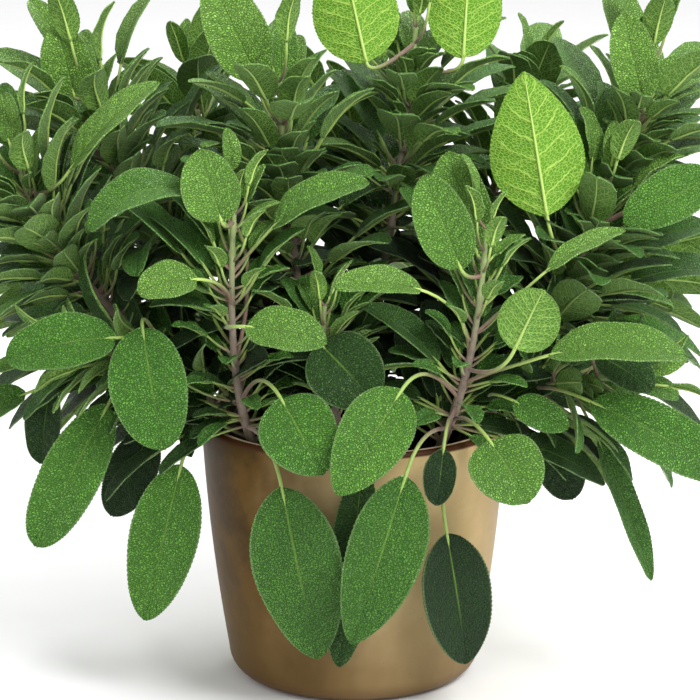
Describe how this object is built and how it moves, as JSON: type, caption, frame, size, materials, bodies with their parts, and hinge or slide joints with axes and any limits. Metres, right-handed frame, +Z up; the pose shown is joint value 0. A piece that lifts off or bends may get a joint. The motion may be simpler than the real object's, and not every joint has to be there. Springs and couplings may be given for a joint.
{
  "type": "potted sage plant",
  "caption": "Bushy culinary sage growing in a small tapered glazed earthenware pot, with leaves that hang over the rim; stands on a flat surface",
  "frame": {"origin": "centre of the pot's flat underside, on the surface that it stands on", "axes": "+Z up, -Y to the front where most leaves hang over the rim, +X to the right seen from the front"},
  "size_m": [0.3728, 0.2729, 0.3562],
  "materials": {
    "glazed_earthenware": "satin brown glaze, darker and mottled on one side, bare cream clay inside",
    "potting_mix": "dark moist crumbly compost",
    "sage_shoot": "downy purple-brown stem turning yellow-green, with small grey-green leaves",
    "sage_leaf": "velvety finely wrinkled grey-green upper side, paler veined underside"
  },
  "bodies": {
    "root": {"pot": "glazed_earthenware", "soil": "potting_mix", "shoot_back": "sage_shoot", "shoot_back_left": "sage_shoot", "shoot_back_right": "sage_shoot", "shoot_centre": "sage_shoot", "shoot_front_middle": "sage_shoot", "shoot_left": "sage_shoot", "shoot_left_back": "sage_shoot", "shoot_left_front": "sage_shoot", "shoot_left_low": "sage_shoot", "shoot_low_back_left": "sage_shoot", "shoot_low_back_right": "sage_shoot", "shoot_right": "sage_shoot", "shoot_right_back": "sage_shoot", "shoot_right_front": "sage_shoot", "shoot_right_low": "sage_shoot", "shoot_top": "sage_shoot", "leaf_arching_left": "sage_leaf", "leaf_bright_middle": "sage_leaf", "leaf_crown_left": "sage_leaf", "leaf_edge_left": "sage_leaf", "leaf_far_right": "sage_leaf", "leaf_high_left": "sage_leaf", "leaf_high_right": "sage_leaf", "leaf_left_broad": "sage_leaf", "leaf_left_drooping": "sage_leaf", "leaf_left_far": "sage_leaf", "leaf_left_hanging": "sage_leaf", "leaf_left_low": "sage_leaf", "leaf_left_reaching": "sage_leaf", "leaf_left_shaded": "sage_leaf", "leaf_lit_middle": "sage_leaf", "leaf_lit_right": "sage_leaf", "leaf_lit_top": "sage_leaf", "leaf_long_middle": "sage_leaf", "leaf_middle_broad": "sage_leaf", "leaf_pale_left": "sage_leaf", "leaf_pot_left": "sage_leaf", "leaf_pot_middle": "sage_leaf", "leaf_pot_right": "sage_leaf", "leaf_pot_shade": "sage_leaf", "leaf_reaching_left": "sage_leaf", "leaf_reaching_right": "sage_leaf", "leaf_right_hanging": "sage_leaf", "leaf_right_level": "sage_leaf", "leaf_right_long": "sage_leaf", "leaf_right_narrow": "sage_leaf", "leaf_right_oval": "sage_leaf", "leaf_right_shaded": "sage_leaf", "leaf_rim_dark": "sage_leaf", "leaf_rim_left": "sage_leaf", "leaf_rim_right": "sage_leaf", "leaf_rim_round": "sage_leaf", "leaf_turned": "sage_leaf", "leaf_upright_behind": "sage_leaf", "leaf_upright_front": "sage_leaf", "leaf_upright_left": "sage_leaf"}
  },
  "joints": []
}
